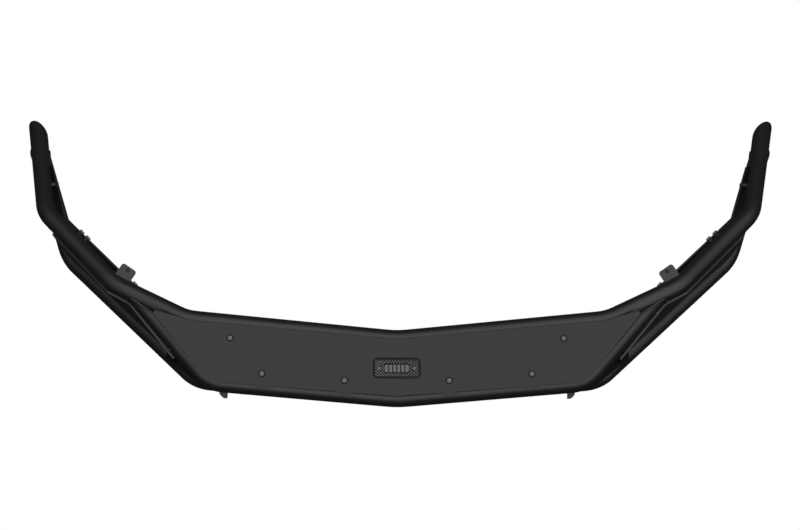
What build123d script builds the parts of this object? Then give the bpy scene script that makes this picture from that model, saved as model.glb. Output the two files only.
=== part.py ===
"""Wrap-around front grille guard for a pickup truck, as separate pieces.

A bent upper bow runs from tip to tip. A lower frame tube hangs under its middle, and a
return tube behind each wing runs from the frame's lower corner back up to the bow's tip.
Sheets close the wings, a flat centre plate is bolted across the middle, and two uprights
carry slotted brackets that bolt to the truck's frame.

Millimetres, +Z up, +X to the right as seen from in front, +Y back towards the truck.
Shapes are drawn from the lower tube's centre at mid-width, then moved so that the origin
is the centre of the frame bolt pattern, on the brackets' rear faces.
"""
import os
from math import hypot

from build123d import *

# Tubes
TUBE_OD = 50.8
TUBE_WALL = 3.2
TUBE_R = TUBE_OD / 2

# Upper bow, from mid-width out to the right tip
BOW_CENTRE = (0, 0, 159)
BOW_SHOULDER = (578, 0, 216)
BOW_KNEE = (777, 72, 296.5)
BOW_ELBOW = (976, 275, 458)
BOW_TIP = (1008, 540, 630)
SHOULDER_BEND = 120
KNEE_BEND = 150
ELBOW_BEND = 100
CENTRE_BEND = 300
TIP_RUN_ON = 90
TIP_CUT_NORMAL = Vector(-0.5, 0.866, 0)
TIP_CAP_THICKNESS = 3

# Lower frame tube, from mid-width up to the bow
FRAME_CENTRE = (0, 0, -6.5)
FRAME_CORNER = (516, 0, 38.5)
FRAME_TOP = (720, 52, 271)
FRAME_BEND = 90

# Return tube: a short run behind the frame tube, then up the wing to the bow's tip
RETURN_START = (486, 51, 27)
RETURN_CORNER = (550, 51, 32)
RETURN_KNEE = (913, 360, 309.5)
RETURN_TOP = (1002, 480, 590)
RETURN_CORNER_BEND = 90
RETURN_KNEE_BEND = 110

# Sheet metal
SHEET = 4.8
SHEET_OFFSET = TUBE_R + SHEET / 2

# Centre plate, standing in front of the tubes
PLATE_BACK_Y = -TUBE_R
PLATE_TOP_CENTRE = (0, 167)
PLATE_TOP_SHOULDER = (571, 220)
PLATE_HORN_TOP = (662, 248)
PLATE_HORN_SIDE = (670, 241)
PLATE_LOWER_CORNER = (519, 47.5)
PLATE_BOTTOM_CENTRE = (0, 7)
PLATE_CORNER_RADIUS = 60
PLATE_SHOULDER_RADIUS = 150
SAME_CORNER = 1.0
UPPER_BOLTS = [(458, 170)]
LOWER_BOLTS = [(371, 70), (144, 51)]
TAB_WIDTH = 40
TAB_BEYOND_BOLT = 18

# M8 fasteners
M8_R = 4.0
M8_THREAD_GAP = 0.1
M8_HOLE_R = 4.5
M8_HEAD_R = 7.0
M8_HEAD_HEIGHT = 4.4
HEAD_ROUNDING = 0.65
M8_SOCKET_FLATS = 5.0
M8_SOCKET_DEPTH = 2.6
M8_WASHER_R = 8.0
M8_WASHER_THICKNESS = 1.6
M8_NUT_FLATS = 13.0
M8_NUT_HEIGHT = 6.8
THREAD_STICK_OUT = 3.0

# How far tools that cut away waste reach
WASTE_REACH = 4 * TUBE_OD

# Badge
BADGE_WIDTH = 127
BADGE_HEIGHT = 54
BADGE_THICKNESS = 4
BADGE_RADIUS = 12
BADGE_Z = 86
BADGE_BORDER = 5
BADGE_RECESS = 1.2
BAR_WIDTH = 66
BAR_HEIGHT = 20
BAR_GROOVES = 5
BAR_GROOVE_WIDTH = 3.5
BAR_GROOVE_DEPTH = 1.2
BAR_HEIGHT_PROUD = 2.2
BAR_RADIUS = 4
SCREW_X = 48
SCREW_HEAD_R = 4.5
SCREW_HEAD_HEIGHT = 2.5
SCREW_R = 2.0
SCREW_HOLE_R = 2.2
SCREW_BEHIND_PLATE = 1.0

# Uprights and frame brackets
UPRIGHT_X = 472
UPRIGHT_THICKNESS = 9.5
WEB_OUTLINE = [(0, -5), (0, 20), (12, 20), (12, 5), (3, -5)]
WEB_THICKNESS = 6
UPRIGHT_PROFILE = [(0, -7), (38, -8), (78, 0), (78, 176), (30, 212), (0, 212)]
BRACKET_THICKNESS = 9.5
BRACKET_PROFILE = [(34, 2), (150, 2), (150, 138), (60, 138), (34, 112)]
FLANGE_WIDTH = 60
FLANGE_Z = (2, 138)
MOUNT_BOLT_YZ = [(56, 30), (56, 110)]
SLOT_LENGTH = 34
M12_R = 6.0
M12_HOLE_R = 6.6
M12_WASHER_R = 12.0
M12_WASHER_THICKNESS = 2.5
M12_FLATS = 18.0
M12_HEAD_HEIGHT = 7.5
M12_NUT_HEIGHT = 10.4
FRAME_HOLE_SPACING_Z = 80
FRAME_HOLE_X = 430
MOUNT_Y = 150
MOUNT_Z = 70

# Outer wing panel: front edge under the bow and beside the frame tube, back edge on the return tube
WING_ELBOW_BACK = 66
WING_CROTCH = (737, 52, 248)
WING_LOW_FRONT = (614, 13, 102)
WING_LOW_BACK = 80

# Inner wing panel: front edge standing off the bow, back edge on the return tube
INNER_FRONT = [(695, 38, 277), (920.5, 262, 445.5), (962, 400, 563)]
INNER_BACK = [(706, 98, 259), (952, 412, 427), (990, 467, 560)]
BOSS_R = 8
BOSS_REACH = 45
BOSS_INSET = 11
LOWER_BOSSES = [52, 268, 296]
UPPER_BOSS = 128
PANEL_BOLT_GRIP = 14
PANEL_BOLT_HEAD = 5.3

# Corner gusset, lying on the return tube's lower bend
GUSSET_OUTLINE = [(90, 80), (94, 40), (60, 22), (14, -19), (-17, -47), (-40, -36), (14, 52)]

# Forward-facing tab at each knee, with a closed weld nut behind it
TAB_HOLE = (742, 80, 335)
TAB_SLOPE = (0.824, 0.118, 0.554)
TAB_LENGTH = 46
TAB_ABOVE_HOLE = 11
TAB_BELOW_HOLE = 42
TAB_RADIUS = 8
TAB_HOLE_R = 4.2
TAB_THREAD_R = 3.1
TAB_THREAD_DEPTH = 6
WELD_NUT_R = 7.2
WELD_NUT_HEIGHT = 8

# Forward side of the wings: level across the guard and tipped a little upward
WING_FORWARD = Vector(0, -0.978, 0.208)


def mirrored(point):
    return (-point[0], point[1], point[2])


def path_through(points, radii):
    return FilletPolyline(*points, radius=radii)


def tube_along(path):
    end = Plane(path @ 0, z_dir=path % 0)
    ring = end * (Circle(TUBE_R) - Circle(TUBE_R - TUBE_WALL))
    return sweep(ring, path=path)


def rod_along(path):
    end = Plane(path @ 0, z_dir=path % 0)
    return sweep(end * Circle(TUBE_R), path=path)


def largest(shape):
    return max(shape.solids(), key=lambda solid: solid.volume)


def both_sides(shape):
    return Compound(children=[shape, mirror(shape, about=Plane.YZ)])


def group(shapes):
    return Compound(children=[solid for shape in shapes for solid in shape.solids()])


def direction(start, end):
    return (Vector(*end) - Vector(*start)).normalized()


def prism(plane, outline, thickness):
    """A flat plate whose middle surface lies in the plane, drawn in the plane's own x and y."""
    face = plane * make_face(Polyline(*outline, close=True))
    return extrude(face, amount=thickness / 2, dir=plane.z_dir, both=True)


def cylinder_at(start, axis, radius, length):
    return extrude(Plane(start, z_dir=axis) * Circle(radius), amount=length)


def hexagon_at(start, axis, flats, length):
    face = Plane(start, z_dir=axis) * RegularPolygon(flats / 2, 6, major_radius=False)
    return extrude(face, amount=length)


# ---------------------------------------------------------------- tubes

def bow_path():
    run_on = Vector(*BOW_TIP) + direction(BOW_ELBOW, BOW_TIP) * TIP_RUN_ON
    right = [BOW_SHOULDER, BOW_KNEE, BOW_ELBOW, tuple(run_on)]
    left = [mirrored(p) for p in reversed(right)]
    side_bends = [SHOULDER_BEND, KNEE_BEND, ELBOW_BEND]
    bends = side_bends[::-1] + [CENTRE_BEND] + side_bends
    return path_through(left + [BOW_CENTRE] + right, bends)


def frame_path():
    right = [FRAME_CORNER, FRAME_TOP]
    left = [mirrored(p) for p in reversed(right)]
    return path_through(left + [FRAME_CENTRE] + right, [FRAME_BEND, CENTRE_BEND, FRAME_BEND])


def return_path():
    points = [RETURN_START, RETURN_CORNER, RETURN_KNEE, RETURN_TOP]
    return path_through(points, [RETURN_CORNER_BEND, RETURN_KNEE_BEND])


def tip_slab(start, thickness):
    """A slab across the right tip, parallel to its cut and starting this far behind it."""
    plane = Plane(BOW_TIP, z_dir=TIP_CUT_NORMAL).offset(start)
    return extrude(plane * Rectangle(WASTE_REACH, WASTE_REACH), amount=thickness)


def tip_cap(rod):
    return largest(rod & tip_slab(-TIP_CAP_THICKNESS, TIP_CAP_THICKNESS))


def cut_tips(tube):
    waste = tip_slab(-TIP_CAP_THICKNESS, WASTE_REACH)
    return largest(tube - waste - mirror(waste, about=Plane.YZ))


# ---------------------------------------------------------------- centre plate and badge

def plate_outline():
    right = [PLATE_TOP_SHOULDER, PLATE_HORN_TOP, PLATE_HORN_SIDE, PLATE_LOWER_CORNER]
    left = [(-x, z) for x, z in reversed(right)]
    return [PLATE_TOP_CENTRE] + right + [PLATE_BOTTOM_CENTRE] + left


def corners_near(sketch, point):
    x, z = point
    return [v for v in sketch.vertices() if hypot(abs(v.X) - x, v.Y - z) < SAME_CORNER]


def bolt_points():
    right = UPPER_BOLTS + LOWER_BOLTS
    return right + [(-x, z) for x, z in right]


def center_plate():
    face = make_face(Polyline(*plate_outline(), close=True))
    face = fillet(corners_near(face, PLATE_LOWER_CORNER), PLATE_CORNER_RADIUS)
    face = fillet(corners_near(face, PLATE_TOP_SHOULDER), PLATE_SHOULDER_RADIUS)
    for x, z in bolt_points():
        face -= Pos(x, z) * Circle(M8_HOLE_R)
    for x in (-SCREW_X, SCREW_X):
        face -= Pos(x, BADGE_Z) * Circle(SCREW_HOLE_R)
    back = Plane((0, PLATE_BACK_Y, 0), x_dir=(1, 0, 0), z_dir=(0, -1, 0))
    return extrude(back * face, amount=SHEET)


def plate_tab(x, z, tube_z):
    """A tab from the tube's front to just past the bolt, coped to the tube by the caller."""
    beyond = z + TAB_BEYOND_BOLT if z > tube_z else z - TAB_BEYOND_BOLT
    height = abs(beyond - tube_z)
    middle_z = (beyond + tube_z) / 2
    back = Plane((x, PLATE_BACK_Y, middle_z), x_dir=(1, 0, 0), z_dir=(0, 1, 0))
    tab = extrude(back * Rectangle(TAB_WIDTH, height), amount=SHEET)
    return tab - cylinder_at((x, PLATE_BACK_Y, z), (0, 1, 0), M8_HOLE_R, SHEET)


def tube_height(x, centre, corner):
    share = abs(x) / corner[0]
    return centre[2] + share * (corner[2] - centre[2])


def center_plate_tabs(bow_rod, frame_rod):
    tabs = []
    for x, z in bolt_points():
        if (abs(x), z) in UPPER_BOLTS:
            tab = plate_tab(x, z, tube_height(x, BOW_CENTRE, BOW_SHOULDER)) - bow_rod
        else:
            tab = plate_tab(x, z, tube_height(x, FRAME_CENTRE, FRAME_CORNER)) - frame_rod
        tabs.append(largest(tab))
    return group(tabs)


def button_bolt(start, axis, length):
    """A button-head bolt. The axis points along the shank from under the head."""
    axis = Vector(*axis)
    start = Vector(*start)
    head = cylinder_at(start, axis * -1, M8_HEAD_R, M8_HEAD_HEIGHT)
    rim = head.edges().filter_by(GeomType.CIRCLE).sort_by(lambda e: (e.center() - start).dot(axis))[0]
    head = fillet(rim, M8_HEAD_HEIGHT * HEAD_ROUNDING)
    socket_floor = start - axis * (M8_HEAD_HEIGHT - M8_SOCKET_DEPTH)
    head -= hexagon_at(socket_floor, axis * -1, M8_SOCKET_FLATS, M8_HEAD_HEIGHT)
    return head + cylinder_at(start, axis, M8_R, length)


def washer(start, axis, hole_r, outer_r, thickness):
    ring = Circle(outer_r) - Circle(hole_r)
    return extrude(Plane(start, z_dir=axis) * ring, amount=thickness)


def nut(start, axis, flats, hole_r, height):
    body = hexagon_at(start, axis, flats, height)
    return body - cylinder_at(start, axis, hole_r, height)


def center_plate_fasteners():
    front_y = PLATE_BACK_Y - SHEET
    washer_y = PLATE_BACK_Y + SHEET
    nut_y = washer_y + M8_WASHER_THICKNESS
    shank = nut_y + M8_NUT_HEIGHT + THREAD_STICK_OUT - front_y
    back = (0, 1, 0)
    bolts, washers, nuts = [], [], []
    for x, z in bolt_points():
        bolts.append(button_bolt((x, front_y, z), back, shank))
        washers.append(washer((x, washer_y, z), back, M8_HOLE_R, M8_WASHER_R, M8_WASHER_THICKNESS))
        nuts.append(nut((x, nut_y, z), back, M8_NUT_FLATS, M8_R + M8_THREAD_GAP, M8_NUT_HEIGHT))
    return group(bolts), group(washers), group(nuts)


def badge_plate():
    back = Plane((0, PLATE_BACK_Y - SHEET, BADGE_Z), x_dir=(1, 0, 0), z_dir=(0, -1, 0))
    outline = RectangleRounded(BADGE_WIDTH, BADGE_HEIGHT, BADGE_RADIUS)
    body = extrude(back * outline, amount=BADGE_THICKNESS)
    inner = RectangleRounded(
        BADGE_WIDTH - 2 * BADGE_BORDER, BADGE_HEIGHT - 2 * BADGE_BORDER, BADGE_RADIUS - BADGE_BORDER)
    body -= extrude(back.offset(BADGE_THICKNESS - BADGE_RECESS) * inner, amount=BADGE_RECESS)
    for x in (-SCREW_X, SCREW_X):
        body -= cylinder_at((x, PLATE_BACK_Y, BADGE_Z), (0, -1, 0), SCREW_HOLE_R, 3 * BADGE_THICKNESS)
    return body


def badge_floor_y():
    return PLATE_BACK_Y - SHEET - BADGE_THICKNESS + BADGE_RECESS


def badge_bar():
    floor = Plane((0, badge_floor_y(), BADGE_Z), x_dir=(1, 0, 0), z_dir=(0, -1, 0))
    bar = extrude(floor * RectangleRounded(BAR_WIDTH, BAR_HEIGHT, BAR_RADIUS), amount=BAR_HEIGHT_PROUD)
    top = floor.offset(BAR_HEIGHT_PROUD)
    groove = Rectangle(BAR_GROOVE_WIDTH, BAR_HEIGHT)
    pitch = BAR_WIDTH / (BAR_GROOVES + 1)
    for place in GridLocations(pitch, 0, BAR_GROOVES, 1):
        bar -= extrude(top * place * groove, amount=-BAR_GROOVE_DEPTH)
    return bar


def badge_screws():
    screws = []
    length = PLATE_BACK_Y + SCREW_BEHIND_PLATE - badge_floor_y()
    for x in (-SCREW_X, SCREW_X):
        head = cylinder_at((x, badge_floor_y(), BADGE_Z), (0, -1, 0), SCREW_HEAD_R, SCREW_HEAD_HEIGHT)
        rim = head.edges().filter_by(GeomType.CIRCLE).sort_by(Axis.Y)[0]
        head = fillet(rim, SCREW_HEAD_HEIGHT * HEAD_ROUNDING)
        screws.append(head + cylinder_at((x, badge_floor_y(), BADGE_Z), (0, 1, 0), SCREW_R, length))
    return group(screws)


# ---------------------------------------------------------------- uprights and frame brackets

def side_plate(x, profile, thickness):
    plane = Plane((x, 0, 0), x_dir=(0, 1, 0), z_dir=(1, 0, 0))
    return prism(plane, profile, thickness)


def mount_upright(bow_rod, frame_rod):
    plate = side_plate(UPRIGHT_X, UPRIGHT_PROFILE, UPRIGHT_THICKNESS) - bow_rod - frame_rod
    for y, z in MOUNT_BOLT_YZ:
        plate -= cylinder_at((UPRIGHT_X - TUBE_OD, y, z), (1, 0, 0), M12_HOLE_R, 2 * TUBE_OD)
    return largest(plate)


def upright_webs(frame_rod):
    """Small tapered plates welded outboard of each upright, under the frame tube."""
    outer_x = UPRIGHT_X + UPRIGHT_THICKNESS / 2
    plane = Plane((outer_x, WEB_THICKNESS / 2, 0), x_dir=(1, 0, 0), z_dir=(0, -1, 0))
    return both_sides(largest(prism(plane, WEB_OUTLINE, WEB_THICKNESS) - frame_rod))


def bracket_x():
    return UPRIGHT_X - (UPRIGHT_THICKNESS + BRACKET_THICKNESS) / 2


def frame_bracket():
    side = side_plate(bracket_x(), BRACKET_PROFILE, BRACKET_THICKNESS)
    for y, z in MOUNT_BOLT_YZ:
        slot = SlotOverall(SLOT_LENGTH, 2 * M12_HOLE_R)
        start = Plane((bracket_x() - TUBE_OD, y, z), x_dir=(0, 1, 0), z_dir=(1, 0, 0))
        side -= extrude(start * slot, amount=2 * TUBE_OD)
    low, high = FLANGE_Z
    outer_x = bracket_x() + BRACKET_THICKNESS / 2
    back = Plane((outer_x - FLANGE_WIDTH / 2, MOUNT_Y, (low + high) / 2), x_dir=(1, 0, 0), z_dir=(0, -1, 0))
    flange = extrude(back * Rectangle(FLANGE_WIDTH, high - low), amount=BRACKET_THICKNESS)
    for step in (-0.5, 0.5):
        hole_z = MOUNT_Z + step * FRAME_HOLE_SPACING_Z
        flange -= cylinder_at((FRAME_HOLE_X, MOUNT_Y, hole_z), (0, -1, 0), M12_HOLE_R, BRACKET_THICKNESS)
    return side + flange


def mount_fasteners():
    """Bolts from the outboard side, with nuts inboard, on both uprights."""
    inboard = (-1, 0, 0)
    outer_x = UPRIGHT_X + UPRIGHT_THICKNESS / 2
    inner_x = bracket_x() - BRACKET_THICKNESS / 2
    bolts, washers, nuts = [], [], []
    for y, z in MOUNT_BOLT_YZ:
        head_x = outer_x + M12_WASHER_THICKNESS
        nut_x = inner_x - M12_WASHER_THICKNESS
        end_x = nut_x - M12_NUT_HEIGHT - THREAD_STICK_OUT
        head = hexagon_at((head_x, y, z), (1, 0, 0), M12_FLATS, M12_HEAD_HEIGHT)
        bolts.append(head + cylinder_at((head_x, y, z), inboard, M12_R, head_x - end_x))
        washers.append(washer((head_x, y, z), inboard, M12_HOLE_R, M12_WASHER_R, M12_WASHER_THICKNESS))
        washers.append(washer((inner_x, y, z), inboard, M12_HOLE_R, M12_WASHER_R, M12_WASHER_THICKNESS))
        nuts.append(nut((nut_x, y, z), inboard, M12_FLATS, M12_R + M8_THREAD_GAP, M12_NUT_HEIGHT))
    return [both_sides(group(pieces)) for pieces in (bolts, washers, nuts)]


# ---------------------------------------------------------------- wing sheets

def facet_normal(points, facet):
    a, b, c = [points[i] for i in facet]
    return (b - a).cross(c - a).normalized()


def corner_offset(points, facets, corner, distance):
    """How far a corner moves so that every facet around it moves out by the distance."""
    normals = [facet_normal(points, f) for f in facets if corner in f]
    mean = sum(normals, Vector(0, 0, 0)).normalized()
    return mean * (distance / min(mean.dot(n) for n in normals))


def folded_sheet(corners, facets, thickness):
    """A sheet folded along the shared edges of its triangular facets."""
    mid = [Vector(*p) for p in corners]
    shifts = [corner_offset(mid, facets, i, thickness / 2) for i in range(len(mid))]
    upper = [p + s for p, s in zip(mid, shifts)]
    lower = [p - s for p, s in zip(mid, shifts)]
    triangles = []
    edges = [(f[i], f[(i + 1) % 3]) for f in facets for i in range(3)]
    for a, b, c in facets:
        triangles.append((upper[a], upper[b], upper[c]))
        triangles.append((lower[a], lower[c], lower[b]))
    for a, b in edges:
        if (b, a) not in edges:
            triangles.append((upper[a], lower[a], lower[b]))
            triangles.append((upper[a], lower[b], upper[b]))
    faces = [Face(Wire.make_polygon(t, close=True)) for t in triangles]
    return Solid(Shell(faces))


def off_tube(point, along, distance):
    """A point moved down and outboard, square to a tube and to the wing's forward side."""
    square = along.cross(WING_FORWARD).normalized()
    outward = square if square.X > 0 else square * -1
    return Vector(*point) + outward * distance


def less(shape, tools):
    for tool in tools:
        shape = largest(shape - tool)
    return shape


def wing_panel(tools):
    """Folded sheet from under the bow and frame tube back to the return tube."""
    leg = direction(BOW_KNEE, BOW_ELBOW)
    elbow = off_tube(Vector(*BOW_ELBOW) - leg * WING_ELBOW_BACK, leg, SHEET_OFFSET)
    knee = off_tube(BOW_KNEE, leg, SHEET_OFFSET)
    low_back = Vector(*RETURN_CORNER) + direction(RETURN_CORNER, RETURN_KNEE) * WING_LOW_BACK
    corners = [elbow, knee, WING_CROTCH, WING_LOW_FRONT, low_back, RETURN_KNEE]
    facets = [(0, 5, 1), (1, 5, 2), (2, 5, 4), (2, 4, 3)]
    return less(folded_sheet(corners, facets, SHEET), tools)


def inner_panel(tools):
    """Folded sheet standing inboard of the bow, carried by the return tube and by bosses."""
    corners = INNER_FRONT + INNER_BACK
    facets = [(0, 1, 4), (0, 4, 3), (1, 2, 5), (1, 5, 4)]
    panel = less(folded_sheet(corners, facets, SHEET), tools)
    for plane, along in boss_places():
        start = plane.from_local_coords(Vector(along, BOSS_INSET, -SHEET))
        panel -= cylinder_at(start, plane.z_dir, M8_HOLE_R, 2 * SHEET)
    return panel


def facet_plane(start, end, third):
    """Plane on a facet: x along its front edge, y towards its back edge, z inboard."""
    start, end, third = Vector(*start), Vector(*end), Vector(*third)
    along = (end - start).normalized()
    normal = along.cross(third - start).normalized()
    return Plane(start, x_dir=along, z_dir=normal if normal.X < 0 else normal * -1)


def boss_places():
    lower = facet_plane(INNER_FRONT[0], INNER_FRONT[1], INNER_BACK[1])
    upper = facet_plane(INNER_FRONT[1], INNER_FRONT[2], INNER_BACK[2])
    return [(lower, along) for along in LOWER_BOSSES] + [(upper, UPPER_BOSS)]


def panel_bosses(bow_rod):
    """Round bosses from the bow to the inner panel's outboard face."""
    bosses = []
    for plane, along in boss_places():
        start = plane.from_local_coords(Vector(along, BOSS_INSET, -SHEET / 2))
        boss = cylinder_at(start, plane.z_dir * -1, BOSS_R, BOSS_REACH)
        boss -= cylinder_at(start, plane.z_dir * -1, M8_R + M8_THREAD_GAP, PANEL_BOLT_GRIP)
        outer = (boss - bow_rod).solids().sort_by(lambda s: (s.center() - start).length)
        bosses.append(outer[0])
    return both_sides(group(bosses))


def panel_bolts():
    bolts = []
    for plane, along in boss_places():
        start = plane.from_local_coords(Vector(along, BOSS_INSET, SHEET / 2))
        head = hexagon_at(start, plane.z_dir, M8_NUT_FLATS, PANEL_BOLT_HEAD)
        bolts.append(head + cylinder_at(start, plane.z_dir * -1, M8_R, PANEL_BOLT_GRIP))
    return both_sides(group(bolts))


def corner_gusset(tools):
    """Plate lying on the return tube's lower bend and reaching the frame tube's corner."""
    inboard_run = direction(RETURN_START, RETURN_CORNER)
    wing_run = direction(RETURN_CORNER, RETURN_KNEE)
    normal = inboard_run.cross(wing_run).normalized()
    upward = normal if normal.Z > 0 else normal * -1
    origin = Vector(*RETURN_CORNER) + upward * SHEET_OFFSET
    plane = Plane(origin, x_dir=inboard_run, z_dir=upward)
    return less(prism(plane, GUSSET_OUTLINE, SHEET), tools)


def tab_plane():
    return Plane(TAB_HOLE, x_dir=TAB_SLOPE, z_dir=WING_FORWARD)


def headlight_tab(tools):
    outline = Pos(0, (TAB_ABOVE_HOLE - TAB_BELOW_HOLE) / 2) * RectangleRounded(
        TAB_LENGTH, TAB_ABOVE_HOLE + TAB_BELOW_HOLE, TAB_RADIUS)
    face = tab_plane() * (outline - Circle(TAB_HOLE_R))
    tab = extrude(face, amount=SHEET / 2, both=True)
    for tool in tools:
        tab -= tool
    return tab.solids().sort_by(lambda s: (s.center() - Vector(*TAB_HOLE)).length)[0]


def weld_nut():
    """Nut on the tab's rear face, threaded from the tab's side and closed at its far end."""
    start = tab_plane().offset(-SHEET / 2).origin
    rearward = tab_plane().z_dir * -1
    body = cylinder_at(start, rearward, WELD_NUT_R, WELD_NUT_HEIGHT)
    return body - cylinder_at(start, rearward, TAB_THREAD_R, TAB_THREAD_DEPTH)


def moved_to_mount(shape):
    return Pos(0, -MOUNT_Y, -MOUNT_Z) * shape


def main():
    bow, frame, back_tube = bow_path(), frame_path(), return_path()
    bow_rod, frame_rod, return_rod = rod_along(bow), rod_along(frame), rod_along(back_tube)
    rods = [bow_rod, frame_rod, return_rod]
    bolts, washers, nuts = center_plate_fasteners()
    mount_bolts, mount_washers, mount_nuts = mount_fasteners()
    gusset = corner_gusset(rods)
    lining = inner_panel(rods)
    pieces = {
        "upper_bow_tube": cut_tips(tube_along(bow)),
        "lower_frame_tube": largest(tube_along(frame) - bow_rod),
        "center_plate": center_plate(),
        "center_plate_tabs": center_plate_tabs(bow_rod, frame_rod),
        "center_plate_bolts": bolts,
        "center_plate_washers": washers,
        "center_plate_nuts": nuts,
        "badge_plate": badge_plate(),
        "badge_bar": badge_bar(),
        "badge_screws": badge_screws(),
        "mount_bolts": mount_bolts,
        "mount_washers": mount_washers,
        "mount_nuts": mount_nuts,
        "inner_panel_bosses": panel_bosses(bow_rod),
        "inner_panel_bolts": panel_bolts(),
        "tab_weld_nuts": both_sides(weld_nut()),
        "upright_webs": upright_webs(frame_rod),
    }
    right_pieces = {
        "return_tube": less(tube_along(back_tube), [bow_rod, frame_rod]),
        "tip_cap": tip_cap(bow_rod),
        "mount_upright": mount_upright(bow_rod, frame_rod),
        "frame_bracket": frame_bracket(),
        "wing_panel": wing_panel(rods + [gusset]),
        "inner_panel": lining,
        "corner_gusset": gusset,
        "headlight_tab": headlight_tab([bow_rod, lining]),
    }
    for name, shape in right_pieces.items():
        pieces["right_" + name] = shape
        pieces["left_" + name] = mirror(shape, about=Plane.YZ)
    os.makedirs("parts", exist_ok=True)
    for name, shape in pieces.items():
        export_step(moved_to_mount(shape), f"parts/{name}.step")


main()
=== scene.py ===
"""Looks for the wrap-around front grille guard: finishes, painted shade and painted highlight, weld
beads, studio and camera.
"""
import math
from collections import namedtuple

import bmesh
import bpy
from mathutils import Matrix, Quaternion, Vector


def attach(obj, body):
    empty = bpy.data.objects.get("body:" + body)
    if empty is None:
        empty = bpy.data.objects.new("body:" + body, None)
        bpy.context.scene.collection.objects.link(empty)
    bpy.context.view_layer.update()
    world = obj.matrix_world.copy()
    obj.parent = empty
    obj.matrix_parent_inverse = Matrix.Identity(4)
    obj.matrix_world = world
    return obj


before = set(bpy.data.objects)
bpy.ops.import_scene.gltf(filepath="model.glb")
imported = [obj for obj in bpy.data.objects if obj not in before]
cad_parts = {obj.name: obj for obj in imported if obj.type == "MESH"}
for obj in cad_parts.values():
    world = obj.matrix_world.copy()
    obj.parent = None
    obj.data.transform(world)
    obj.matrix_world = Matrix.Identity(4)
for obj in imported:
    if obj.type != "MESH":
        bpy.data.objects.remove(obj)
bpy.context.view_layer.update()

FULL_TURN = math.radians(360)

# Camera: long lens, slightly above the bumper line and a touch to one side
GUARD_CENTRE = Vector((0, -0.150, -0.070))
CAMERA_DISTANCE = 30.0
CAMERA_ELEVATION = math.radians(12.0)
CAMERA_YAW = math.radians(1.05)
CAMERA_ROLL = math.radians(0.08)
METRES_ACROSS = 2.2
SENSOR = 36.0
AIM_RIGHT = 0.0080
AIM_UP = 0.3607
CLIP_END = 200

# Tones, linear
COAT = (0.012, 0.012, 0.0122)
COAT_WORN = (0.015, 0.015, 0.0152)
HARDWARE = (0.19, 0.19, 0.193)
HARDWARE_WORN = (0.12, 0.12, 0.122)
# Near black for painted shade: the cords and strips at the badge, bolt heads, grooves and tab holes,
# and also the centre plate washers
SHADE_BLACK = (0.002, 0.002, 0.002)
BADGE = (0.003, 0.003, 0.003)
# Light grey of the badge's raised dots: a painted highlight for their lit tops
BADGE_DOT_HIGHLIGHT = (0.42, 0.42, 0.425)
BADGE_BAR = (0.160, 0.160, 0.163)
FLOOR = (0.80, 0.80, 0.80)

# Finishes: two tones that mottle, then roughness, metal, grain of the bump, its strength and the sheen
Finish = namedtuple("Finish", "dark light roughness metallic grain bump sheen")
FINISHES = {
    "black_powder_coat": Finish(COAT, COAT_WORN, 0.38, 0.0, 900, 0.25, 0.5),
    "black_hardware": Finish(HARDWARE, HARDWARE_WORN, 0.38, 0.3, 1200, 0.15, 0.5),
    "badge_finish": Finish(BADGE, COAT, 0.4, 0.0, 700, 0.4, 0.22),
    "badge_bar_finish": Finish(BADGE_BAR, HARDWARE_WORN, 0.4, 0.2, 700, 0.4, 0.5),
    # Near-black finish for painted shade, also worn by the centre plate washers
    "shade_black": Finish(SHADE_BLACK, COAT, 0.7, 0.0, 900, 0.2, 0.5),
    # Light finish of the badge's dots: painted highlight
    "badge_dot_painted_highlight": Finish(BADGE_DOT_HIGHLIGHT, BADGE, 0.4, 0.1, 700, 0.2, 0.5),
}
OWN_FINISH = {
    "badge_bar": "badge_bar_finish",
    "badge_plate": "badge_finish",
    # The centre plate washers behind the tabs take the near-black used for painted shade
    "center_plate_washers": "shade_black",
}
HARDWARE_WORDS = ("bolts", "nuts", "washers", "screws")
MOTTLE_SCALE = 6.0
MOTTLE_DETAIL = 4.0
GRAIN_DETAIL = 2.0
SMOOTHER = 0.04
ROUGHER = 0.05
PEEL_DEPTH = 0.0004

# Round cords that stand for painted shade lines and rings, and for weld beads
CORD_ROUNDNESS = 3
ARC_STEPS = 6
RING_STEPS = 20

# Badge, in metres
PLATE_FACE_Y = -0.1802
BADGE_Z = 0.016
BADGE_FIELD_Y = -0.1832
# Black cord round the badge: painted shade where the badge meets the plate
BADGE_SHADE_WIDTH = 0.1290
BADGE_SHADE_HEIGHT = 0.0560
BADGE_SHADE_CORNER = 0.0130
BADGE_SHADE_THICKNESS = 0.0016
DOT_PITCH = 0.0082
DOT_RADIUS = 0.0019
DOT_SEGMENTS = 8
DOT_RINGS = 6
DOT_COLUMNS = 14
DOT_ROWS = 5
BAR_CLEAR_X = 0.0355
BAR_CLEAR_Z = 0.0125
SCREW_X = 0.048
SCREW_CLEAR = 0.0065
GROOVES = 5
GROOVE_PITCH = 0.011
# Black strips on the bar's groove floors: painted shade in the grooves
GROOVE_SHADE_Y = -0.1841
GROOVE_SHADE_WIDTH = 0.0034
GROOVE_SHADE_THICKNESS = 0.0003
GROOVE_SHADE_HEIGHT = 0.0198

# Bolts on the centre plate, each side of the middle
BOLTS_PER_SIDE = [(0.458, 0.100), (0.371, 0.0), (0.144, -0.019)]
PLATE_BOLTS = [(side * x, z) for side in (-1, 1) for x, z in BOLTS_PER_SIDE]
# Black ring round each bolt head: painted contact shade
BOLT_SHADE_RADIUS = 0.0087
BOLT_SHADE_THICKNESS = 0.0017

# Black ring at each knee tab's hole, on the tab's front face: painted shade of the hole's edge
TAB_HOLE = (0.742, -0.070, 0.265)
TAB_FORWARD = Vector((0, -0.978, 0.208))
TAB_FACE = 0.0024
HOLE_SHADE_RADIUS = 0.0044
HOLE_SHADE_THICKNESS = 0.0014

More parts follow.
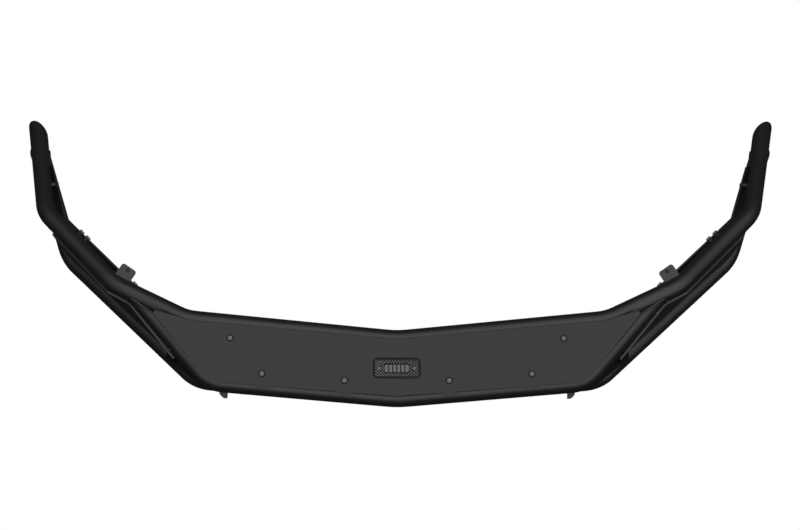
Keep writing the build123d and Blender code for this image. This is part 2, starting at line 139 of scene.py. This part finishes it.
# Welds: each coped tube's run and then the run of the tube it meets, from the lower tube's centre
TUBE_R = 0.0254
GUARD_BACK = 0.150
GUARD_DROP = 0.070
WELD_RADIUS = 0.0032
WELDED_JOINTS = {
    "frame_weld": (
        (0.516, 0, 0.0385), (0.720, 0.052, 0.271),
        (0.578, 0, 0.216), (0.777, 0.072, 0.2965)),
    "return_weld": (
        (0.913, 0.360, 0.3095), (1.002, 0.480, 0.590),
        (0.976, 0.275, 0.458), (1.008, 0.540, 0.630)),
}

# Studio: a broad soft wall of light in front, a little stronger on the right, dark above and behind.
# Each pair of edges says where the wall starts and where it is full, as parts of a unit direction.
SEEN_WHITE = 1.0
WALL_LIGHT = 1.50
WALL_TO_THE_RIGHT = 0.35
WALL_FALL_OFF = 0.6
BACK_LIGHT = 0.03
WALL_EDGE_Y = (-0.04, -0.62)
WALL_EDGE_Z = (-0.48, -0.18)
REAR_AT = (0.0, 6.0, 0.1)
REAR_AIM = Vector((0, 0.1, 0.1))
REAR_SIZE = 3.0
REAR_WATTS = 2200

# Floor
FLOOR_Z = -0.32
FLOOR_SIZE = 60
FLOOR_LIFT = 1.03
FLOOR_PATCHES = 2.0
FLOOR_ROUGHNESS = 0.9


# ---------------------------------------------------------------- finishes

def principled(name):
    mat = bpy.data.materials.new(name)
    mat.use_nodes = True
    tree = mat.node_tree
    shader = next(n for n in tree.nodes if n.type == "BSDF_PRINCIPLED")
    return mat, tree, shader


def coated(name, finish):
    """Mottled satin finish: fine orange-peel bump, broad tone and roughness drift."""
    mat, tree, shader = principled(name)
    coords = tree.nodes.new("ShaderNodeTexCoord")
    broad = tree.nodes.new("ShaderNodeTexNoise")
    broad.inputs["Scale"].default_value = MOTTLE_SCALE
    broad.inputs["Detail"].default_value = MOTTLE_DETAIL
    fine = tree.nodes.new("ShaderNodeTexNoise")
    fine.inputs["Scale"].default_value = finish.grain
    fine.inputs["Detail"].default_value = GRAIN_DETAIL
    tone = tree.nodes.new("ShaderNodeMix")
    tone.data_type = "RGBA"
    tone.inputs["A"].default_value = (*finish.dark, 1)
    tone.inputs["B"].default_value = (*finish.light, 1)
    rough = tree.nodes.new("ShaderNodeMapRange")
    rough.inputs["To Min"].default_value = finish.roughness - SMOOTHER
    rough.inputs["To Max"].default_value = finish.roughness + ROUGHER
    peel = tree.nodes.new("ShaderNodeBump")
    peel.inputs["Strength"].default_value = finish.bump
    peel.inputs["Distance"].default_value = PEEL_DEPTH
    link = tree.links.new
    link(coords.outputs["Object"], broad.inputs["Vector"])
    link(coords.outputs["Object"], fine.inputs["Vector"])
    link(broad.outputs["Fac"], tone.inputs["Factor"])
    link(tone.outputs["Result"], shader.inputs["Base Color"])
    link(broad.outputs["Fac"], rough.inputs["Value"])
    link(rough.outputs["Result"], shader.inputs["Roughness"])
    link(fine.outputs["Fac"], peel.inputs["Height"])
    link(peel.outputs["Normal"], shader.inputs["Normal"])
    shader.inputs["Metallic"].default_value = finish.metallic
    shader.inputs["Specular IOR Level"].default_value = finish.sheen
    return mat


def finish_of(piece):
    """Name of the finish that a CAD piece wears."""
    if piece in OWN_FINISH:
        return OWN_FINISH[piece]
    if any(word in piece for word in HARDWARE_WORDS):
        return "black_hardware"
    return "black_powder_coat"


def paint(obj, mat):
    obj.data.materials.clear()
    obj.data.materials.append(mat)


# ---------------------------------------------------------------- studio

def rear_light():
    """Broad lamp behind the guard that fills its back without a reflection."""
    data = bpy.data.lights.new("rear", "AREA")
    data.shape = "DISK"
    data.size = REAR_SIZE
    data.energy = REAR_WATTS
    lamp = bpy.data.objects.new("rear", data)
    lamp.location = REAR_AT
    lamp.rotation_mode = "QUATERNION"
    lamp.rotation_quaternion = (REAR_AIM - Vector(REAR_AT)).to_track_quat("-Z", "Y")
    lamp.visible_camera = False
    lamp.visible_glossy = False
    bpy.context.scene.collection.objects.link(lamp)


def seen_white(tree, shader_socket):
    """Shows plain white to the camera and leaves the given shader to light the object."""
    path = tree.nodes.new("ShaderNodeLightPath")
    white = tree.nodes.new("ShaderNodeEmission")
    white.inputs["Strength"].default_value = SEEN_WHITE
    mix = tree.nodes.new("ShaderNodeMixShader")
    tree.links.new(path.outputs["Is Camera Ray"], mix.inputs["Fac"])
    tree.links.new(shader_socket, mix.inputs[1])
    tree.links.new(white.outputs["Emission"], mix.inputs[2])
    return mix.outputs["Shader"]


def studio_floor():
    bpy.ops.mesh.primitive_plane_add(size=FLOOR_SIZE, location=(0, 0, FLOOR_Z))
    floor = bpy.context.object
    floor.name = "floor"
    mat, tree, shader = principled("studio_floor")
    noise = tree.nodes.new("ShaderNodeTexNoise")
    noise.inputs["Scale"].default_value = FLOOR_PATCHES
    tone = tree.nodes.new("ShaderNodeMix")
    tone.data_type = "RGBA"
    tone.inputs["A"].default_value = (*FLOOR, 1)
    tone.inputs["B"].default_value = (*[c * FLOOR_LIFT for c in FLOOR], 1)
    tree.links.new(noise.outputs["Fac"], tone.inputs["Factor"])
    tree.links.new(tone.outputs["Result"], shader.inputs["Base Color"])
    shader.inputs["Roughness"].default_value = FLOOR_ROUGHNESS
    output = next(n for n in tree.nodes if n.type == "OUTPUT_MATERIAL")
    tree.links.new(seen_white(tree, shader.outputs["BSDF"]), output.inputs["Surface"])
    paint(floor, mat)
    floor.visible_diffuse = False
    floor.visible_glossy = False


def ramp(tree, value, edges):
    """Smooth step from none at the first edge to full at the second."""
    step = tree.nodes.new("ShaderNodeMapRange")
    step.interpolation_type = "SMOOTHSTEP"
    step.inputs["From Min"].default_value = min(edges)
    step.inputs["From Max"].default_value = max(edges)
    rising = edges[0] < edges[1]
    step.inputs["To Min"].default_value = 0.0 if rising else 1.0
    step.inputs["To Max"].default_value = 1.0 if rising else 0.0
    tree.links.new(value, step.inputs["Value"])
    return step.outputs["Result"]


def maths(tree, operation, *values):
    """Maths node whose inputs are plain numbers or other nodes' outputs."""
    node = tree.nodes.new("ShaderNodeMath")
    node.operation = operation
    for socket, value in zip(node.inputs, values):
        if isinstance(value, float):
            socket.default_value = value
        else:
            tree.links.new(value, socket)
    return node.outputs["Value"]


def wall_strength(tree):
    """How bright the room is in each direction."""
    coords = tree.nodes.new("ShaderNodeTexCoord")
    split = tree.nodes.new("ShaderNodeSeparateXYZ")
    tree.links.new(coords.outputs["Generated"], split.inputs["Vector"])
    front = ramp(tree, split.outputs["Y"], WALL_EDGE_Y)
    raised = ramp(tree, split.outputs["Z"], WALL_EDGE_Z)
    across = split.outputs["X"]
    fall_off = -WALL_FALL_OFF * WALL_LIGHT
    to_the_right = WALL_TO_THE_RIGHT * WALL_LIGHT
    bend = maths(tree, "MULTIPLY_ADD", across, fall_off, to_the_right)
    side = maths(tree, "MULTIPLY_ADD", across, bend, WALL_LIGHT)
    wall = maths(tree, "MULTIPLY", maths(tree, "MULTIPLY", front, raised), side)
    return maths(tree, "ADD", wall, BACK_LIGHT)


def studio_world():
    world = bpy.data.worlds.new("studio")
    world.use_nodes = True
    tree = world.node_tree
    room = tree.nodes["Background"]
    room.inputs["Color"].default_value = (1, 1, 1, 1)
    tree.links.new(wall_strength(tree), room.inputs["Strength"])
    output = tree.nodes["World Output"]
    tree.links.new(seen_white(tree, room.outputs["Background"]), output.inputs["Surface"])
    bpy.context.scene.world = world


def studio():
    studio_floor()
    studio_world()
    bpy.context.scene.view_settings.view_transform = "Standard"
    rear_light()


def camera():
    """Aimed so that the bow's long axis lies level in the picture but for the camera's roll."""
    forward = Vector((
        -math.sin(CAMERA_YAW) * math.cos(CAMERA_ELEVATION),
        math.cos(CAMERA_YAW) * math.cos(CAMERA_ELEVATION),
        -math.sin(CAMERA_ELEVATION)))
    long_axis = Vector((1, 0, 0))
    level = (long_axis - forward * long_axis.dot(forward)).normalized()
    right = Quaternion(forward, -CAMERA_ROLL) @ level
    up = right.cross(forward)
    data = bpy.data.cameras.new("camera")
    data.sensor_width = SENSOR
    data.lens = SENSOR * CAMERA_DISTANCE / METRES_ACROSS
    data.clip_end = CLIP_END
    cam = bpy.data.objects.new("camera", data)
    cam.location = GUARD_CENTRE + right * AIM_RIGHT + up * AIM_UP - forward * CAMERA_DISTANCE
    cam.rotation_mode = "QUATERNION"
    cam.rotation_quaternion = Matrix((right, up, -forward)).transposed().to_quaternion()
    bpy.context.scene.collection.objects.link(cam)
    bpy.context.scene.camera = cam


# ---------------------------------------------------------------- pieces

def add_piece(name, mesh, mat):
    """Puts a mesh on the guard as a piece of its own."""
    obj = bpy.data.objects.new(name, mesh)
    bpy.context.scene.collection.objects.link(obj)
    paint(obj, mat)
    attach(obj, "root")


def as_mesh(name, build):
    mesh = bpy.data.meshes.new(name)
    build.to_mesh(mesh)
    build.free()
    return mesh


def turns(steps):
    """Angles that share out a full turn."""
    return [FULL_TURN * step / steps for step in range(steps)]


def cord(name, points, radius, mat):
    """A round cord along a closed line of points."""
    curve = bpy.data.curves.new(name, "CURVE")
    curve.dimensions = "3D"
    curve.bevel_depth = radius
    curve.bevel_resolution = CORD_ROUNDNESS
    line = curve.splines.new("POLY")
    line.points.add(len(points) - 1)
    for point, place in zip(line.points, points):
        point.co = (*place, 1)
    line.use_cyclic_u = True
    cable = bpy.data.objects.new(name + "_curve", curve)
    bpy.context.scene.collection.objects.link(cable)
    mesh = bpy.data.meshes.new_from_object(cable.evaluated_get(bpy.context.evaluated_depsgraph_get()))
    bpy.data.objects.remove(cable)
    add_piece(name, mesh, mat)


def rounded_outline(width, height, radius):
    """Points around a rounded rectangle."""
    points = []
    for turn in range(4):
        cx = (width / 2 - radius) * (1 if turn in (0, 3) else -1)
        cz = (height / 2 - radius) * (1 if turn in (0, 1) else -1)
        for step in range(ARC_STEPS + 1):
            angle = FULL_TURN / 4 * (turn + step / ARC_STEPS)
            points.append((cx + radius * math.cos(angle), cz + radius * math.sin(angle)))
    return points


def badge_shade_line(mat):
    """Black cord in the joint between the badge and the centre plate: painted shade along the badge's
    edge.
    """
    outline = rounded_outline(BADGE_SHADE_WIDTH, BADGE_SHADE_HEIGHT, BADGE_SHADE_CORNER)
    cord("badge_shade_line", [(x, PLATE_FACE_Y, BADGE_Z + z) for x, z in outline], BADGE_SHADE_THICKNESS, mat)


def bolt_shade_rings(mat):
    """Black ring around each bolt head on the centre plate: painted contact shade."""
    for number, (x, z) in enumerate(PLATE_BOLTS):
        ring = [
            (x + BOLT_SHADE_RADIUS * math.cos(t), PLATE_FACE_Y, z + BOLT_SHADE_RADIUS * math.sin(t))
            for t in turns(RING_STEPS)]
        cord(f"bolt_seal_{number + 1}", ring, BOLT_SHADE_THICKNESS, mat)


def groove_painted_shade(mat):
    """Black strips on the floors of the badge bar's grooves: painted shade in the grooves."""
    build = bmesh.new()
    size = Matrix.Diagonal((GROOVE_SHADE_WIDTH, GROOVE_SHADE_THICKNESS, GROOVE_SHADE_HEIGHT, 1))
    for number in range(GROOVES):
        x = (number - (GROOVES - 1) / 2) * GROOVE_PITCH
        place = Matrix.Translation((x, GROOVE_SHADE_Y, BADGE_Z))
        bmesh.ops.create_cube(build, size=1, matrix=place @ size)
    add_piece("groove_painted_shade", as_mesh("groove_painted_shade", build), mat)


def tab_hole_shade_rings(mat):
    """Black ring at the hole of each knee tab: painted shade of the hole's edge."""
    across = Vector((1, 0, 0))
    up = TAB_FORWARD.cross(across)
    for side, label in ((1, "right"), (-1, "left")):
        x, y, z = TAB_HOLE
        centre = Vector((side * x, y, z)) + TAB_FORWARD * TAB_FACE
        ring = [
            centre + (across * math.cos(t) + up * math.sin(t)) * HOLE_SHADE_RADIUS
            for t in turns(RING_STEPS)]
        cord(f"{label}_painted_tab_hole_shade", ring, HOLE_SHADE_THICKNESS, mat)


def dot_places():
    """Centres of the staggered dots that fill the badge's field around the bar and the screws."""
    for column in range(-DOT_COLUMNS, DOT_COLUMNS + 1):
        for row in range(-DOT_ROWS, DOT_ROWS + 1):
            x, z = column * DOT_PITCH / 2, row * DOT_PITCH / 2
            staggered_out = (column + row) % 2 == 1
            by_bar = abs(x) < BAR_CLEAR_X and abs(z) < BAR_CLEAR_Z
            by_screw = math.hypot(abs(x) - SCREW_X, z) < SCREW_CLEAR
            if not (staggered_out or by_bar or by_screw):
                yield x, z


def badge_knurling(mat):
    """Raised dots over the badge's field, coloured light as a painted highlight of their lit tops."""
    build = bmesh.new()
    for x, z in dot_places():
        place = Matrix.Translation((x, BADGE_FIELD_Y, BADGE_Z + z))
        bmesh.ops.create_uvsphere(
            build, u_segments=DOT_SEGMENTS, v_segments=DOT_RINGS, radius=DOT_RADIUS, matrix=place)
    mesh = as_mesh("badge_knurling", build)
    mesh.polygons.foreach_set("use_smooth", [True] * len(mesh.polygons))
    add_piece("badge_knurling", mesh, mat)


def joint_line(start, end, on_start, on_end):
    """Points where a tube running from start to end first meets the tube it is coped onto."""
    start, end = Vector(start), Vector(end)
    along = (end - start).normalized()
    host = Vector(on_start)
    host_along = (Vector(on_end) - host).normalized()
    side = along.orthogonal().normalized()
    other = along.cross(side)
    run = along - host_along * along.dot(host_along)
    for turn in turns(RING_STEPS * 2):
        rim = start + (side * math.cos(turn) + other * math.sin(turn)) * TUBE_R
        gap = rim - host
        gap -= host_along * gap.dot(host_along)
        a, b, c = run.dot(run), gap.dot(run), gap.dot(gap) - TUBE_R ** 2
        reach = (-b - math.sqrt(max(b * b - a * c, 0))) / a
        yield rim + along * reach


def weld_beads(mat):
    """Fillet welds where the frame tube and the return tubes are coped onto the bow."""
    for name, joint in WELDED_JOINTS.items():
        for side, label in ((1, "right"), (-1, "left")):
            line = [(side * p.x, p.y - GUARD_BACK, p.z - GUARD_DROP) for p in joint_line(*joint)]
            cord(f"{label}_{name}", line, WELD_RADIUS, mat)


def dress():
    mats = {name: coated(name, finish) for name, finish in FINISHES.items()}
    for piece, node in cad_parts.items():
        paint(node, mats[finish_of(piece)])
    # Painted shade: black cords and strips at the badge's edge, the bolt heads, the bar's grooves and
    # the tab holes
    badge_shade_line(mats["shade_black"])
    bolt_shade_rings(mats["shade_black"])
    groove_painted_shade(mats["shade_black"])
    tab_hole_shade_rings(mats["shade_black"])
    # The badge's dots are coloured light: a painted highlight
    badge_knurling(mats["badge_dot_painted_highlight"])
    weld_beads(mats["black_powder_coat"])


dress()
studio()
camera()
